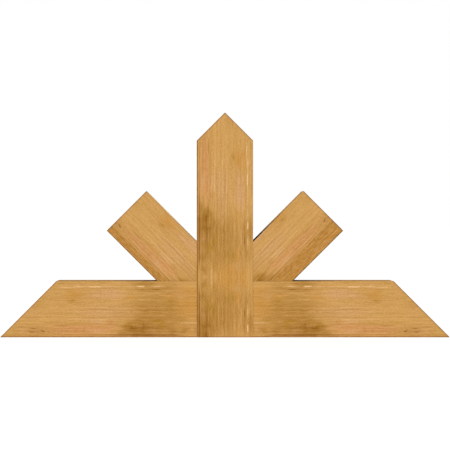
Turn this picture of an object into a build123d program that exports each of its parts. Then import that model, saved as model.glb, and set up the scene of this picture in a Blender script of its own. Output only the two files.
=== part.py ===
from build123d import *
import os
from math import cos, radians, sin, sqrt, tan

# Decorative gable truss for the peak of a roof. A king post stands in the middle, a tie beam
# in two halves runs out from its foot, and two short struts spring from the inner corners,
# square to the roof slopes. The timbers are planed smooth and butt together on glued blind
# dowels, and every end that meets the roof lies on one of its two slopes.
# Sizes are in millimetres and degrees. X runs along the span, Y from the front face to the
# back face and Z up. The origin is under the king post, halfway through the depth.

# Roof
SPAN = 1219.2
ROOF_PITCH = 45.0

# Timbers
DEPTH = 50.8
POST_FACE = 152.4
TIE_FACE = 152.4
STRUT_FACE = 152.4
ARRIS_RADIUS = 1.6

# Fluted dowels
DOWEL_DIAMETER = 12.7
DOWEL_LENGTH = 63.5
DOWEL_CHAMFER = 1.2
FLUTE_COUNT = 12
FLUTE_DEPTH = 0.85

# Blind bores for the dowels
GLUE_LINE = 0.05
BORE_END_ROOM = 1.5
BORE_COUNTERSINK = 0.8
BORE_COUNTERSINK_ANGLE = 90.0

# Places of the dowels
TIE_DOWEL_SPACING = 76.2
STRUT_DOWEL_EDGE = 20.0

# Worked out from the sizes above
PITCH = radians(ROOF_PITCH)
RISE = SPAN / 2 * tan(PITCH)
BORE_RADIUS = DOWEL_DIAMETER / 2 + GLUE_LINE
BORE_DEPTH = DOWEL_LENGTH / 2 + BORE_END_ROOM
STRUT_SEAT_ON_POST = STRUT_FACE / 2 / sin(PITCH)
STRUT_SEAT_ON_TIE = STRUT_FACE / 2 / cos(PITCH)

SIDES = {"left": -1, "right": 1}


def slope_height(x):
    """Height of the roof slope above the bottom edge, at x from the middle."""
    return RISE - abs(x) * tan(PITCH)


def strut_dowel_offsets(seat_length):
    """Distances from the inner corner of a seat's two dowels, clear of the other seat's bores."""
    return [BORE_DEPTH + DOWEL_DIAMETER, seat_length - STRUT_DOWEL_EDGE]


def dowel_seats(side):
    """Where each joint's dowels cross it, as planes that face out of the post or the tie."""
    tie_heights = [TIE_FACE / 2 + end * TIE_DOWEL_SPACING / 2 for end in (-1, 1)]
    strut_heights = [TIE_FACE + offset for offset in strut_dowel_offsets(STRUT_SEAT_ON_POST)]
    strut_reaches = [POST_FACE / 2 + offset for offset in strut_dowel_offsets(STRUT_SEAT_ON_TIE)]
    return {
        "tie_to_post": [Plane((side * POST_FACE / 2, 0, z), z_dir=(side, 0, 0)) for z in tie_heights],
        "strut_to_post": [Plane((side * POST_FACE / 2, 0, z), z_dir=(side, 0, 0)) for z in strut_heights],
        "strut_to_tie": [Plane((side * x, 0, TIE_FACE), z_dir=(0, 0, 1)) for x in strut_reaches],
    }


def drill(seats):
    """Blind bores, countersunk at the mouth for spare glue, into the timber behind each seat."""
    with Locations(*seats):
        CounterSinkHole(BORE_RADIUS, BORE_RADIUS + BORE_COUNTERSINK, BORE_DEPTH, BORE_COUNTERSINK_ANGLE)


def king_post():
    """The middle timber, from the bottom edge to the peak, cut to both roof slopes."""
    half = POST_FACE / 2
    with BuildPart() as post:
        with BuildSketch(Plane.XZ):
            with BuildLine():
                Polyline(
                    (-half, 0),
                    (half, 0),
                    (half, slope_height(half)),
                    (0, RISE),
                    (-half, slope_height(half)),
                    close=True,
                )
            make_face()
        extrude(amount=DEPTH / 2, both=True)
        fillet(post.edges().filter_by(Axis.Z), ARRIS_RADIUS)
        for side in SIDES.values():
            seats = dowel_seats(side)
            drill(seats["tie_to_post"] + seats["strut_to_post"])
    post.part.label = "king_post"
    return post.part


def tie_beam(name, side):
    """Half of the bottom timber, from the side of the post to a tip cut to the roof slope."""
    seats = dowel_seats(side)
    with BuildPart() as tie:
        with BuildSketch(Plane.XZ):
            with BuildLine():
                Polyline(
                    (side * POST_FACE / 2, 0),
                    (side * SPAN / 2, 0),
                    (side * (SPAN / 2 - TIE_FACE / tan(PITCH)), TIE_FACE),
                    (side * POST_FACE / 2, TIE_FACE),
                    close=True,
                )
            make_face()
        extrude(amount=DEPTH / 2, both=True)
        fillet(tie.edges().filter_by(Axis.X), ARRIS_RADIUS)
        drill([-seat for seat in seats["tie_to_post"]])
        drill(seats["strut_to_tie"])
    tie.part.label = name
    return tie.part


def strut(name, side):
    """A short timber square to the roof slope, its foot seated on the tie and on the post."""
    seats = dowel_seats(side)
    along = Vector(side * sin(PITCH), 0, cos(PITCH))
    across = Vector(side * cos(PITCH), 0, -sin(PITCH))
    corner = Vector(side * POST_FACE / 2, 0, TIE_FACE)
    end = corner + along * (slope_height(corner.X) - corner.Z) * cos(PITCH)
    upper_end = end - across * STRUT_FACE / 2
    lower_end = end + across * STRUT_FACE / 2
    with BuildPart() as brace:
        with BuildSketch(Plane.XZ):
            with BuildLine():
                Polyline(
                    (corner.X, corner.Z),
                    (corner.X + side * STRUT_SEAT_ON_TIE, corner.Z),
                    (lower_end.X, lower_end.Z),
                    (upper_end.X, upper_end.Z),
                    (corner.X, corner.Z + STRUT_SEAT_ON_POST),
                    close=True,
                )
            make_face()
        extrude(amount=DEPTH / 2, both=True)
        fillet(brace.edges().filter_by(Axis(corner, along)), ARRIS_RADIUS)
        drill([-seat for seat in seats["strut_to_post"] + seats["strut_to_tie"]])
    brace.part.label = name
    return brace.part


def dowel(name, seat):
    """A hardwood pin, half of it on each side of the joint, with a V flute along every other corner."""
    flute_wall = FLUTE_DEPTH * sqrt(2)
    with BuildPart(seat) as pin:
        with BuildSketch(seat):
            RegularPolygon(DOWEL_DIAMETER / 2, 2 * FLUTE_COUNT)
        extrude(amount=DOWEL_LENGTH / 2, both=True)
        chamfer(pin.faces().filter_by(seat).edges(), DOWEL_CHAMFER)
        with PolarLocations(DOWEL_DIAMETER / 2, FLUTE_COUNT):
            Box(flute_wall, flute_wall, DOWEL_LENGTH, rotation=(0, 0, 45), mode=Mode.SUBTRACT)
    pin.part.label = name
    return pin.part


pieces = [king_post()]
for hand, side in SIDES.items():
    pieces.append(tie_beam(f"{hand}_tie_beam", side))
    pieces.append(strut(f"{hand}_strut", side))
    for joint, seats in dowel_seats(side).items():
        for number, seat in enumerate(seats, start=1):
            pieces.append(dowel(f"{hand}_{joint}_dowel_{number}", seat))

os.makedirs("parts", exist_ok=True)
for piece in pieces:
    export_step(piece, f"parts/{piece.label}.step")
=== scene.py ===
from collections import namedtuple
from math import cos, pi, radians, sin, sqrt

import bpy
from mathutils import Color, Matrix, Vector

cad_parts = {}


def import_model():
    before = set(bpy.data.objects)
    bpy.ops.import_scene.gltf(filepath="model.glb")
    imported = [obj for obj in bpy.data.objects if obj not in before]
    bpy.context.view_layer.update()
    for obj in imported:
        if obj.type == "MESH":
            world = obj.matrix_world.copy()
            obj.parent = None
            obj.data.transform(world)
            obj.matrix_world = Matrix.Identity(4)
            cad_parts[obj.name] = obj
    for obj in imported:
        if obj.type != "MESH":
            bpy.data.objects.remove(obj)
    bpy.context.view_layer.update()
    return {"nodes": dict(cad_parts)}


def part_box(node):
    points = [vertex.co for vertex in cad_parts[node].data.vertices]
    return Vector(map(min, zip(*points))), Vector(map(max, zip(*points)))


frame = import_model()

# Looks of the decorative gable truss: timbers with one figure in their grain, a plain white
# studio and the viewpoint of the photograph.
# Sizes are in metres, with X along the span, Y from the front face to the back and Z up.
# Wood has axes of its own: along the grain, across the face and through from the front.
MM = 0.001
THROUGH = Vector((0, 1, 0))

# Sizes of the timbers, from the frame. Every face is as wide as the post's.
post_low, post_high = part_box("king_post")
_, tie_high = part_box("right_tie_beam")
_, strut_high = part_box("right_strut")
HALF_SPAN = tie_high.x
RISE = post_high.z
TIE_TOP = tie_high.z
STRUT_TOP = strut_high.z
POST_HALF = post_high.x
FRONT = post_low.y
DEPTH = post_high.y - post_low.y
FACE = 2 * POST_HALF
SIDES = {"left": -1, "right": 1}

# Viewpoint
SENSOR = 36
CAMERA_TO_FRONT = 2.177
CAMERA_HEIGHT = 0.3153
PICTURE_MIDDLE_HEIGHT = 0.3045
CAMERA_SHIFT_X = 0.075

# Light, where 1 lights a surface so that its colour renders as it is written
AMBIENT = 0.3
Lamp = namedtuple("Lamp", "strength azimuth elevation spread")
LAMPS = {
    "key_light": Lamp(0.8, -20, 13, 30),
    "back_light": Lamp(0.8, 135, 4, 22),
}

# Floor, whose glow is only for the eye
FLOOR_REACH = 30
FLOOR_WHITE = 0.5
FLOOR_GLOW = 0.78

# Screen level of white, and a Mix node's sockets for colours
SCREEN_WHITE = 255
MIX_FIRST = 6
MIX_SECOND = 7
MIX_RESULT = 2


def srgb(red, green, blue):
    """A colour written as it looks on a screen, from 0 to 255, as the linear colour that nodes take."""
    levels = [level / SCREEN_WHITE for level in (red, green, blue)]
    return [*Color(levels).from_srgb_to_scene_linear(), 1]


def times(colour, other):
    """How many times lighter a colour is than another one."""
    return [level / other_level for level, other_level in zip(colour, other)]


def streaks(length, width):
    """The size of lumps that are drawn out along the grain, from millimetres."""
    return (length * MM, width * MM, width * MM)


# Where each timber starts in the figure of the stock, along the grain and across it
POST_START = 74.5 * MM
TIE_STARTS = {"left": 0, "right": -4 * MM}
STRUT_START = 100 * MM
STRUT_STARTS_ACROSS = {"left": 17.5 * MM, "right": 39 * MM}
FIGURE_LENGTH = 520.5 * MM

# Noise that moves the figure off, so that it wavers: the size of its lumps and how far it reaches
Drift = namedtuple("Drift", "lump reach")
WAVE = Drift(streaks(150, 30), streaks(8, 2.5))
BLUR = Drift(streaks(30, 7), streaks(24, 6))

# Layers of noise in the grain, the middle that each has, and how far each moves the tone
BROAD = streaks(260, 13)
STREAK = streaks(60, 4)
FIBRE = streaks(18, 2.1)
SPECKLE = streaks(5, 2.8)
NOISE_MIDDLE = 0.5
BROAD_SHARE = 0.32
STREAK_SHARE = 0.42
FIBRE_SHARE = 0.42
SPECKLE_SHARE = 0.62

# Grain at its darkest and at its lightest, as times of its middle colour
MIDDLE_GRAIN = srgb(203, 153, 80)
DARK_GRAIN = times(srgb(171, 121, 44), MIDDLE_GRAIN)
LIGHT_GRAIN = times(srgb(229, 178, 103), MIDDLE_GRAIN)

# Long threads in the grain: the values of noise between which they set in, and how far they
# move the tone
THREAD = streaks(120, 2.2)
DARK_THREAD_RANGE = (0.58, 0.72)
DARK_THREAD_SHARE = -0.16
PALE_THREAD_RANGE = (0.28, 0.42)
PALE_THREAD_SHARE = 0.13

# Ground colour, mottled
MOTTLE = streaks(50, 9)
MOTTLE_RANGE = (0.35, 0.65)
PINK_GROUND = srgb(209, 158, 92)
YELLOW_GROUND = srgb(207, 159, 90)

# Golden strip along the stock's lower edge, flecked and with a fibrous upper limit
LOW_STRIP = 147.5 * MM
LOW_STRIP_BLUR = 3 * MM
LOW_STRIP_SPREAD = (0.6, 1.4)
FLECK = streaks(15, 5)
FLECK_RANGE = (0.3, 0.7)
DARK_GOLDEN = srgb(180, 127, 55)
LIGHT_GOLDEN = srgb(198, 144, 78)

# Growth rings, whose dark late wood moves the tone less on a face, and more on an end
PITH_ACROSS = -70 * MM
PITH_THROUGH = 120 * MM
RING_WIDTH = 8 * MM
LATE_WOOD_RANGE = (0.3, 0.95)
RING_SHARES = (-0.08, -0.4)

# End grain: how square to the grain a surface is where it sets in, its colour with the share
# of it, and how much rougher it is
END_GRAIN_RANGE = (0.3, 0.65)
END_GRAIN_COLOUR = srgb(200, 165, 130)
END_GRAIN_TINT = 0.6
END_GRAIN_ROUGHNESS = 0.15

# Finish
SPECULAR = 0.03
ROUGHNESS = (0.55, 0.8)
RING_RELIEF = 0.3
RELIEF_STRENGTH = 0.4
RELIEF = 0.3 * MM

# Painted shade on the lower and end arrises, full up to the first distance from them and gone at the
# second
FULL_EDGE_SHADE = 0.5 * MM
EDGE_SHADE_REACH = 4 * MM
EDGE_SHADE_STRENGTH = 0.95
EDGE_SHADE_COLOUR = srgb(190, 178, 160)

# Painted shade in the four inner corners, darkening the ledges there: where each corner is along X
# and Z, how far the shade reaches, how strong it is, and the slope it needs. A surface gets none
# until it faces up by the first share of that slope, and all of it from the second share on. With a
# bend above 1, the shade thins out faster near its corner.
CornerShade = namedtuple("CornerShade", "x z reach strength slope")
CORNER_SHADE = [
    CornerShade(184 * MM, 152 * MM, 150 * MM, 1.0, 0.6),
    CornerShade(-184 * MM, 152 * MM, 130 * MM, 0.75, 0.6),
    CornerShade(76 * MM, 260 * MM, 130 * MM, 1.25, 0.3),
    CornerShade(-76 * MM, 260 * MM, 110 * MM, 1.1, 0.6),
]
CORNER_SHADE_BEND = 1.2
CORNER_SHADE_HOLD = (0.4, 1.4)
CORNER_SHADE_COLOUR = srgb(24, 14, 8)

# Dowels, level or upright
LEVEL_DOWEL_GRAIN = streaks(12.5, 0.5)
UPRIGHT_DOWEL_GRAIN = tuple(reversed(LEVEL_DOWEL_GRAIN))
DOWEL_DETAIL = 3
DOWEL_RANGE = (0.3, 0.7)
DARK_DOWEL = srgb(196, 166, 122)
LIGHT_DOWEL = srgb(224, 198, 158)
DOWEL_ROUGHNESS = (0.55, 0.75)
DOWEL_RELIEF = 0.1 * MM

# Coloured places in the figure. Each is at a distance along the grain and across from the upper
# edge, reaches half a length and half a width round that, in millimetres, and has a strength. One
# kind is at its full where its strengths add up to the full mark. Patches reach deeper into the wood
# than lines, and noise makes both uneven, with 1 as the middle of the spread.
PATCH_DEPTH = 70 * MM
LINE_DEPTH = 25 * MM
FULL_MARK = 0.9
CLOUD = streaks(32, 4)
PATCH_SPREAD = (0.2, 1.8)
LINE_SPREAD = (0.1, 1.9)
PATCHES = {
    "grey": (
        srgb(187, 138, 70),
        [
            (427, 83, 125, 108, 1.0),
            (389, 121, 33, 43, 0.4),
            (414, 22, 56, 12, 0.5),
            (462, 23, 43, 16, 0.3),
            (375, 8, 40, 10, 0.6),
            (400, 8, 30, 9, 0.8),
        ],
    ),
    "olive": (
        srgb(172, 126, 42),
        [
            (345, 123, 20, 14, 0.5),
            (351, 125, 24, 16, 0.3),
            (422, 108, 33, 8, 0.7),
            (441, 123, 24, 14, 0.6),
            (400, 91, 16, 19, 0.3),
            (465, 61, 36, 12, 0.35),
            (478, 77, 27, 19, 0.3),
            (194, 52, 24, 6, 0.5),
            (465, 50, 30, 14, 0.35),
            (497, 104, 26, 12, 0.25),
            (365, 112, 27, 8, 0.4),
            (286, 53, 38, 7, 0.3),
            (497, 131, 22, 14, 0.4),
            (475, 110, 60, 16, 0.3),
            (240, 115, 108, 11, 0.2),
            (190, 160, 80, 14, 0.5),
        ],
    ),
    "orange": (
        srgb(204, 148, 74),
        [
            (197, 37, 35, 27, 0.8),
            (240, 39, 43, 19, 0.3),
            (357, 45, 30, 9, 0.6),
            (457, 42, 30, 13, 0.7),
            (511, 66, 54, 60, 0.8),
            (511, 23, 43, 19, 0.5),
            (497, 126, 27, 16, 0.4),
            (164, 115, 81, 14, 0.3),
        ],
    ),
    "pink": (
        srgb(210, 152, 94),
        [
            (164, 134, 92, 24, 0.6),
            (251, 131, 98, 27, 0.8),
            (294, 126, 54, 24, 0.3),
            (102, 134, 16, 19, 0.4),
            (302, 114, 26, 10, 0.3),
            (457, 26, 43, 19, 0.3),
        ],
    ),
    "violet": (
        srgb(212, 162, 108),
        [
            (294, 34, 70, 22, 1.0),
            (240, 44, 60, 12, 0.4),
            (286, 85, 119, 38, 0.6),
            (262, 111, 24, 8, 0.6),
            (262, 137, 34, 11, 0.6),
            (210, 9, 80, 7, 0.3),
            (487, 42, 24, 9, 0.3),
            (497, 33, 24, 10, 0.4),
            (365, 22, 22, 8, 0.3),
            (67, 137, 38, 14, 0.5),
            (88, 85, 33, 27, 0.3),
        ],
    ),
    "brown": (
        srgb(166, 116, 46),
        [
            (389, 132, 64, 34, 0.55),
            (340, 126, 36, 24, 0.45),
            (325, 141, 34, 12, 0.35),
            (468, 137, 20, 14, 0.5),
            (365, 141, 22, 12, 0.35),
            (302, 116, 28, 12, 0.3),
            (465, 120, 28, 14, 0.3),
            (516, 130, 24, 20, 0.25),
            (95, 136, 110, 24, 0.36),
            (436, 130, 40, 18, 0.3),
            (500, 136, 30, 20, 0.4),
            (380, 110, 44, 12, 0.2),
        ],
    ),
    "slate": (
        srgb(193, 141, 80),
        [
            (417, 136, 24, 14, 0.9),
            (447, 137, 14, 8, 0.5),
        ],
    ),
    "dark": (
        srgb(144, 88, 14),
        [
            (387, 128, 14, 36, 0.4),
            (358, 127, 18, 9, 0.4),
            (365, 130, 24, 12, 0.3),
            (465, 142, 24, 6, 0.4),
            (492, 138, 14, 6, 0.3),
        ],
    ),
}
LINES = {
    "pale": (
        srgb(244, 202, 146),
        [
            (300, 15, 100, 2.5, 0.3),
            (178, 18, 49, 3, 0.4),
            (216, 15, 24, 3, 0.5),
            (256, 15, 27, 3, 0.9),
            (306, 15, 44, 3, 0.2),
            (348, 15, 27, 3, 0.25),
            (236, 8, 24, 4, 0.25),
            (381, 15, 16, 3, 1.0),
            (425, 15, 30, 3, 0.65),
            (420, 32, 44, 7, 0.25),
            (300, 83, 190, 3, 0.3),
            (251, 104, 135, 4, 0.3),
            (511, 112, 38, 6, 0.35),
            (180, 141, 38, 3, 0.3),
            (487, 45, 26, 3, 0.2),
        ],
    ),
    "umber": (
        srgb(138, 88, 30),
        [
            (372, 127, 20, 3, 0.6),
            (400, 127, 22, 3, 0.5),
            (424, 128, 18, 3, 0.6),
            (470, 146, 36, 4, 0.35),
            (327, 146, 206, 4, 0.55),
            (408, 146, 108, 4, 0.45),
            (394, 23, 70, 3, 0.4),
            (424, 23, 16, 4, 0.4),
            (197, 53, 22, 3, 0.4),
            (170, 121, 38, 3, 0.5),
            (56, 124, 38, 3, 0.5),
            (90, 128, 17, 3, 0.7),
            (86, 138, 16, 3, 0.6),
            (113, 134, 6, 3, 0.7),
            (118, 137, 6, 3, 0.8),
            (229, 129, 4, 7, 0.3),
            (225, 136, 4, 7, 0.3),
            (264, 115, 22, 3, 0.3),
            (270, 76, 163, 4, 0.28),
            (286, 99, 135, 3, 0.15),
        ],
    ),
}

# A timber in the stock: the upper outer corner of its board before the ends were cut, its axes,
# where it starts, and whether its foot is cut square
Board = namedtuple("Board", "corner along across start square_foot")


class Tree:
    """A node tree, with a short call for each kind of node that the materials use."""

    def __init__(self, tree):
        self.tree = tree
        tree.nodes.clear()

    def add(self, kind, inputs=None, **settings):
        """A node with its settings and inputs, where an input is a value or another node's output."""
        node = self.tree.nodes.new(kind)
        for name, setting in settings.items():
            setattr(node, name, setting)
        for name, value in (inputs or {}).items():
            self.feed(node.inputs[name], value)
        return node

    def feed(self, socket, value):
        """Links a socket to another node's output, or sets it to a value."""
        if isinstance(value, bpy.types.NodeSocket):
            self.tree.links.new(value, socket)
        else:
            socket.default_value = value

    def math(self, operation, *values, clamp=False):
        """A sum, product or the like of numbers."""
        node = self.add("ShaderNodeMath", dict(enumerate(values)), operation=operation, use_clamp=clamp)
        return node.outputs["Value"]

    def vector(self, operation, *values):
        """A sum, product or the like of vectors, which is a number for some operations."""
        node = self.add("ShaderNodeVectorMath", dict(enumerate(values)), operation=operation)
        return node.outputs["Value" if operation in ("DOT_PRODUCT", "LENGTH") else "Vector"]

    def split(self, vector):
        """The three numbers of a vector."""
        return self.add("ShaderNodeSeparateXYZ", {"Vector": vector}).outputs

    def join(self, x, y, z):
        """The vector of three numbers."""
        return self.add("ShaderNodeCombineXYZ", {"X": x, "Y": y, "Z": z}).outputs["Vector"]

    def noise(self, place, lump, detail=1, output="Fac"):
        """Noise from 0 to 1 in lumps of about the given size."""
        scaled = self.vector("DIVIDE", place, lump)
        noise = self.add("ShaderNodeTexNoise", {"Vector": scaled, "Scale": 1, "Detail": detail})
        return noise.outputs[output]

    def drift(self, place, drift):
        """Places moved off a little by noise, so that what is laid at them wavers."""
        middle = (NOISE_MIDDLE, NOISE_MIDDLE, NOISE_MIDDLE)
        push = self.vector("SUBTRACT", self.noise(place, drift.lump, output="Color"), middle)
        return self.vector("ADD", place, self.vector("MULTIPLY", push, drift.reach))

    def ramp(self, value, start, end, low=0, high=1, kind="SMOOTHSTEP"):
        """Low up to start and high from end on, with an S-curve or another kind of line between them."""
        inputs = {"Value": value, "From Min": start, "From Max": end, "To Min": low, "To Max": high}
        return self.add("ShaderNodeMapRange", inputs, interpolation_type=kind).outputs["Result"]

    def spread(self, value, low, high):
        """A value from 0 to 1 as one from low to high."""
        return self.math("MULTIPLY_ADD", value, high - low, low)

    def mix(self, factor, first, second, blend="MIX"):
        """Two colours mixed, or one multiplied by the other, by a factor from 0 to 1."""
        inputs = {"Factor": factor, MIX_FIRST: first, MIX_SECOND: second}
        node = self.add("ShaderNodeMix", inputs, data_type="RGBA", blend_type=blend)
        return node.outputs[MIX_RESULT]


def marks(tree, place, spots, depth):
    """How much of a kind of coloured place there is, from 0 to 1."""
    total = 0
    for along, across, half_length, half_width, strength in spots:
        centre = Vector((along * MM, across * MM, 0))
        reach = Vector((half_length * MM, half_width * MM, depth))
        offset = tree.vector("SUBTRACT", place, centre)
        scaled = tree.vector("DIVIDE", offset, reach)
        ball = tree.add("ShaderNodeTexGradient", {"Vector": scaled}, gradient_type="SPHERICAL")
        total = tree.math("MULTIPLY_ADD", ball.outputs["Fac"], strength, total)
    return tree.ramp(total, 0, FULL_MARK)


def painted(tree, ground, place, kinds, depth, unevenness):
    """The ground colour with coloured places of several kinds over it."""
    for colour, spots in kinds.values():
        share = tree.math("MULTIPLY", marks(tree, place, spots, depth), unevenness)
        ground = tree.mix(share, ground, colour)
    return ground


def late_wood(tree, place):
    """The dark outer part of each growth ring, from 0 to 1."""
    off_pith = tree.vector("SUBTRACT", place, (0, PITH_ACROSS, PITH_THROUGH))
    radius = tree.vector("LENGTH", tree.vector("MULTIPLY", off_pith, (0, 1, 1)))
    ring = tree.math("FRACT", tree.math("DIVIDE", radius, RING_WIDTH))
    return tree.ramp(ring, *LATE_WOOD_RANGE)


def stock_group():
    """The wood of every timber: colour, roughness and height at a place in the stock."""
    group = bpy.data.node_groups.new("stock", "ShaderNodeTree")
    tree = Tree(group)
    sockets = group.interface
    sockets.new_socket("Place", in_out="INPUT", socket_type="NodeSocketVector")
    sockets.new_socket("End grain", in_out="INPUT", socket_type="NodeSocketFloat")
    sockets.new_socket("Colour", in_out="OUTPUT", socket_type="NodeSocketColor")
    sockets.new_socket("Roughness", in_out="OUTPUT", socket_type="NodeSocketFloat")
    sockets.new_socket("Height", in_out="OUTPUT", socket_type="NodeSocketFloat")
    given = tree.add("NodeGroupInput").outputs
    end_grain = given["End grain"]

    length, across, through = tree.split(given["Place"])
    place = tree.join(tree.math("PINGPONG", length, FIGURE_LENGTH), across, through)
    wavy = tree.drift(place, WAVE)
    blurred = tree.drift(wavy, BLUR)
    _, wavy_across, _ = tree.split(wavy)

    broad = tree.noise(wavy, BROAD)
    streak = tree.noise(wavy, STREAK)
    fibre = tree.noise(wavy, FIBRE)
    speckle = tree.noise(place, SPECKLE)
    mottle = tree.noise(wavy, MOTTLE)
    cloud = tree.noise(blurred, CLOUD)
    fleck = tree.noise(blurred, FLECK)
    thread = tree.noise(wavy, THREAD)

    tint = tree.mix(tree.ramp(mottle, *MOTTLE_RANGE), PINK_GROUND, YELLOW_GROUND)
    tint = painted(tree, tint, blurred, PATCHES, PATCH_DEPTH, tree.spread(cloud, *PATCH_SPREAD))
    tint = painted(tree, tint, wavy, LINES, LINE_DEPTH, tree.spread(fibre, *LINE_SPREAD))
    golden = tree.mix(tree.ramp(fleck, *FLECK_RANGE), DARK_GOLDEN, LIGHT_GOLDEN)
    low_strip = tree.ramp(wavy_across, LOW_STRIP, LOW_STRIP + LOW_STRIP_BLUR)
    low_strip = tree.math("MULTIPLY", low_strip, tree.spread(fibre, *LOW_STRIP_SPREAD))
    tint = tree.mix(low_strip, tint, golden)

    tone = NOISE_MIDDLE
    layers = (broad, BROAD_SHARE), (streak, STREAK_SHARE), (fibre, FIBRE_SHARE), (speckle, SPECKLE_SHARE)
    for layer, share in layers:
        tone = tree.math("MULTIPLY_ADD", tree.math("SUBTRACT", layer, NOISE_MIDDLE), share, tone)
    dark_thread = tree.ramp(thread, *DARK_THREAD_RANGE)
    pale_thread = tree.ramp(thread, *PALE_THREAD_RANGE, low=1, high=0)
    tone = tree.math("MULTIPLY_ADD", dark_thread, DARK_THREAD_SHARE, tone)
    tone = tree.math("MULTIPLY_ADD", pale_thread, PALE_THREAD_SHARE, tone)
    rings = late_wood(tree, wavy)
    tone = tree.math("MULTIPLY_ADD", rings, tree.spread(end_grain, *RING_SHARES), tone)

    colour = tree.mix(1, tint, tree.mix(tone, DARK_GRAIN, LIGHT_GRAIN), "MULTIPLY")
    end_tint = tree.math("MULTIPLY", end_grain, END_GRAIN_TINT)
    colour = tree.mix(end_tint, colour, END_GRAIN_COLOUR, "MULTIPLY")
    height = tree.math("MULTIPLY_ADD", rings, RING_RELIEF, tree.math("ADD", fibre, speckle))
    roughness = tree.spread(streak, *ROUGHNESS)
    roughness = tree.math("MULTIPLY_ADD", end_grain, END_GRAIN_ROUGHNESS, roughness)
    tree.add("NodeGroupOutput", {"Colour": colour, "Roughness": roughness, "Height": height})
    return group


def arris_gap(tree, place, across, through, square_foot):
    """How far a place is from its timber's lower and end arrises: the middle one of three distances."""
    x, _, z = tree.split(place)
    to_side = tree.math("SUBTRACT", FACE, across)
    to_front_or_back = tree.math("MINIMUM", through, tree.math("SUBTRACT", DEPTH, through))
    under_slope = tree.math("SUBTRACT", tree.math("SUBTRACT", RISE, z), tree.math("ABSOLUTE", x))
    to_end = tree.math("DIVIDE", under_slope, sqrt(2))
    if square_foot:
        to_end = tree.math("MINIMUM", to_end, z)
    low = tree.math("MINIMUM", to_side, to_front_or_back)
    high = tree.math("MAXIMUM", to_side, to_front_or_back)
    return tree.math("MAXIMUM", low, tree.math("MINIMUM", high, to_end))


def corner_shade(tree, place, normal):
    """Painted shade in the corners of the ledges, from 0 to 1."""
    x, _, z = tree.split(place)
    _, _, up = tree.split(normal)
    flat = tree.join(x, 0, z)
    start, full = CORNER_SHADE_HOLD
    total = 0
    for patch in CORNER_SHADE:
        distance = tree.vector("LENGTH", tree.vector("SUBTRACT", flat, (patch.x, 0, patch.z)))
        near = tree.ramp(distance, 0, patch.reach, low=1, high=0, kind="LINEAR")
        upward_share = tree.ramp(up, start * patch.slope, full * patch.slope, high=patch.strength)
        total = tree.math("MULTIPLY_ADD", tree.math("POWER", near, CORNER_SHADE_BEND), upward_share, total)
    return tree.math("MINIMUM", total, 1)


def new_material(name):
    """An empty material and its node tree."""
    material = bpy.data.materials.new(name)
    material.use_nodes = True
    return material, Tree(material.node_tree)


def finish_wood(tree, colour, roughness, height, relief):
    """The last nodes of a wooden surface, whose grain stands up by its relief."""
    bump = tree.add("ShaderNodeBump", {"Strength": RELIEF_STRENGTH, "Distance": relief, "Height": height})
    inputs = {
        "Base Color": colour,
        "Roughness": roughness,
        "Normal": bump.outputs["Normal"],
        "Specular IOR Level": SPECULAR,
    }
    shader = tree.add("ShaderNodeBsdfPrincipled", inputs)
    tree.add("ShaderNodeOutputMaterial", {"Surface": shader.outputs["BSDF"]})


def timber_material(name, board, stock):
    """The stock's wood, laid along a timber from one of its corners, with painted shade on its lower and
    end arrises and in the inner corners.
    """
    material, tree = new_material(name)
    coordinates = tree.add("ShaderNodeTexCoord").outputs
    offset = tree.vector("SUBTRACT", coordinates["Object"], board.corner)
    along = tree.vector("DOT_PRODUCT", offset, board.along)
    across = tree.vector("DOT_PRODUCT", offset, board.across)
    through = tree.vector("DOT_PRODUCT", offset, THROUGH)
    place = tree.vector("ADD", tree.join(along, across, through), board.start)
    facing = tree.math("ABSOLUTE", tree.vector("DOT_PRODUCT", coordinates["Normal"], board.along))
    end_grain = tree.ramp(facing, *END_GRAIN_RANGE)
    wood = tree.add("ShaderNodeGroup", {"Place": place, "End grain": end_grain}, node_tree=stock).outputs

    gap = arris_gap(tree, coordinates["Object"], across, through, board.square_foot)
    # Painted shade: the lower and end arrises are darkened and the upper ones are not.
    edge_shade = tree.ramp(gap, FULL_EDGE_SHADE, EDGE_SHADE_REACH, low=EDGE_SHADE_STRENGTH, high=0)
    colour = tree.mix(edge_shade, wood["Colour"], EDGE_SHADE_COLOUR, "MULTIPLY")
    # Painted shade: faces turned upward are darkened towards the inner corners.
    shaded_corners = corner_shade(tree, coordinates["Object"], coordinates["Normal"])
    colour = tree.mix(shaded_corners, colour, CORNER_SHADE_COLOUR, "MULTIPLY")
    finish_wood(tree, colour, wood["Roughness"], wood["Height"], RELIEF)
    return material


def boards():
    """Where each timber was cut from the stock."""
    slant = 1 / sqrt(2)
    laid = {
        "king_post": Board(
            corner=Vector((POST_HALF, FRONT, RISE)),
            along=Vector((0, 0, -1)),
            across=Vector((-1, 0, 0)),
            start=Vector((POST_START, 0, 0)),
            square_foot=True,
        )
    }
    for hand, side in SIDES.items():
        laid[f"{hand}_tie_beam"] = Board(
            corner=Vector((side * HALF_SPAN, FRONT, TIE_TOP)),
            along=Vector((-side, 0, 0)),
            across=Vector((0, 0, -1)),
            start=Vector((TIE_STARTS[hand], 0, 0)),
            square_foot=False,
        )
        laid[f"{hand}_strut"] = Board(
            corner=Vector((side * (RISE - STRUT_TOP), FRONT, STRUT_TOP)),
            along=Vector((-side * slant, 0, -slant)),
            across=Vector((side * slant, 0, -slant)),
            start=Vector((STRUT_START, STRUT_STARTS_ACROSS[hand], 0)),
            square_foot=False,
        )
    return laid


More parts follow.
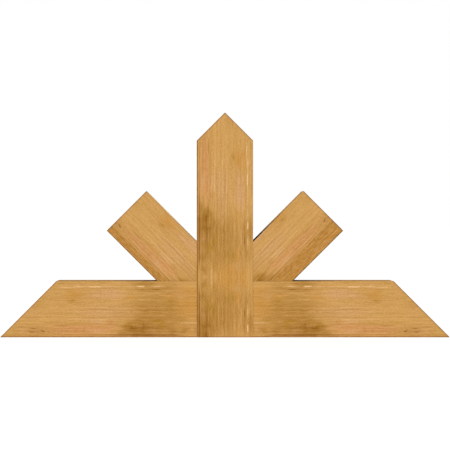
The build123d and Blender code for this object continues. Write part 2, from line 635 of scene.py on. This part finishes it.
def dowel_material(name, lump):
    """Pale, fine-grained hardwood with its grain along the pin."""
    material, tree = new_material(name)
    place = tree.add("ShaderNodeTexCoord").outputs["Object"]
    fibre = tree.noise(place, lump, detail=DOWEL_DETAIL)
    colour = tree.mix(tree.ramp(fibre, *DOWEL_RANGE), DARK_DOWEL, LIGHT_DOWEL)
    finish_wood(tree, colour, tree.spread(fibre, *DOWEL_ROUGHNESS), fibre, DOWEL_RELIEF)
    return material


def dress(node, material):
    """Gives a CAD node its material."""
    slots = frame["nodes"][node].data.materials
    slots.clear()
    slots.append(material)


def seen_directly(tree):
    """1 for what the camera sees straight, in a reflection or through glass, and 0 for light's way."""
    path = tree.add("ShaderNodeLightPath").outputs
    seen = tree.math("ADD", path["Is Camera Ray"], path["Is Glossy Ray"], clamp=True)
    return tree.math("ADD", seen, path["Is Transmission Ray"], clamp=True)


def floor():
    """A pale floor that looks white and keeps the shadow of the truss."""
    reach = FLOOR_REACH
    mesh = bpy.data.meshes.new("floor")
    corners = [(-reach, -reach, 0), (reach, -reach, 0), (reach, reach, 0), (-reach, reach, 0)]
    mesh.from_pydata(corners, [], [(0, 1, 2, 3)])
    plane = bpy.data.objects.new("floor", mesh)
    bpy.context.scene.collection.objects.link(plane)
    material, tree = new_material("floor")
    paint = tree.add("ShaderNodeBsdfDiffuse", {"Color": [FLOOR_WHITE] * 3 + [1]})
    glow = tree.add("ShaderNodeEmission", {"Strength": tree.spread(seen_directly(tree), 0, FLOOR_GLOW)})
    both = tree.add("ShaderNodeAddShader", {0: paint.outputs["BSDF"], 1: glow.outputs["Emission"]})
    tree.add("ShaderNodeOutputMaterial", {"Surface": both.outputs["Shader"]})
    mesh.materials.append(material)


def world():
    """White all round to the eye, and soft light from every side."""
    made = bpy.data.worlds.new("studio")
    made.use_nodes = True
    tree = Tree(made.node_tree)
    strength = tree.spread(seen_directly(tree), AMBIENT, 1)
    sky = tree.add("ShaderNodeBackground", {"Color": [1, 1, 1, 1], "Strength": strength})
    tree.add("ShaderNodeOutputWorld", {"Surface": sky.outputs["Background"]})
    bpy.context.scene.world = made


def hang(name, lamp):
    """A large soft lamp, far off. Azimuth 0 is in front of the truss and 90 on its right."""
    light = bpy.data.lights.new(name, "SUN")
    light.energy = lamp.strength * pi
    light.angle = radians(lamp.spread)
    source = bpy.data.objects.new(name, light)
    turn, rise = radians(lamp.azimuth), radians(lamp.elevation)
    towards = Vector((sin(turn) * cos(rise), -cos(turn) * cos(rise), sin(rise)))
    source.rotation_euler = towards.to_track_quat("Z", "Y").to_euler()
    bpy.context.scene.collection.objects.link(source)


def camera():
    """The photograph's viewpoint: level, square to the front face, with the span across the picture."""
    width = 2 * HALF_SPAN
    data = bpy.data.cameras.new("camera")
    data.sensor_width = SENSOR
    data.lens = SENSOR * CAMERA_TO_FRONT / width
    data.shift_x = CAMERA_SHIFT_X
    data.shift_y = (PICTURE_MIDDLE_HEIGHT - CAMERA_HEIGHT) / width
    viewer = bpy.data.objects.new("camera", data)
    viewer.location = (-CAMERA_SHIFT_X * width, FRONT - CAMERA_TO_FRONT, CAMERA_HEIGHT)
    viewer.rotation_euler = (radians(90), 0, 0)
    bpy.context.scene.collection.objects.link(viewer)
    bpy.context.scene.camera = viewer


bpy.context.scene.view_settings.view_transform = "Standard"
camera()
floor()
world()
for name, lamp in LAMPS.items():
    hang(name, lamp)

stock = stock_group()
for name, board in boards().items():
    dress(name, timber_material(name, board, stock))

level_dowel = dowel_material("level_dowel", LEVEL_DOWEL_GRAIN)
upright_dowel = dowel_material("upright_dowel", UPRIGHT_DOWEL_GRAIN)
for name in frame["nodes"]:
    if "dowel" in name:
        dress(name, upright_dowel if "strut_to_tie" in name else level_dowel)
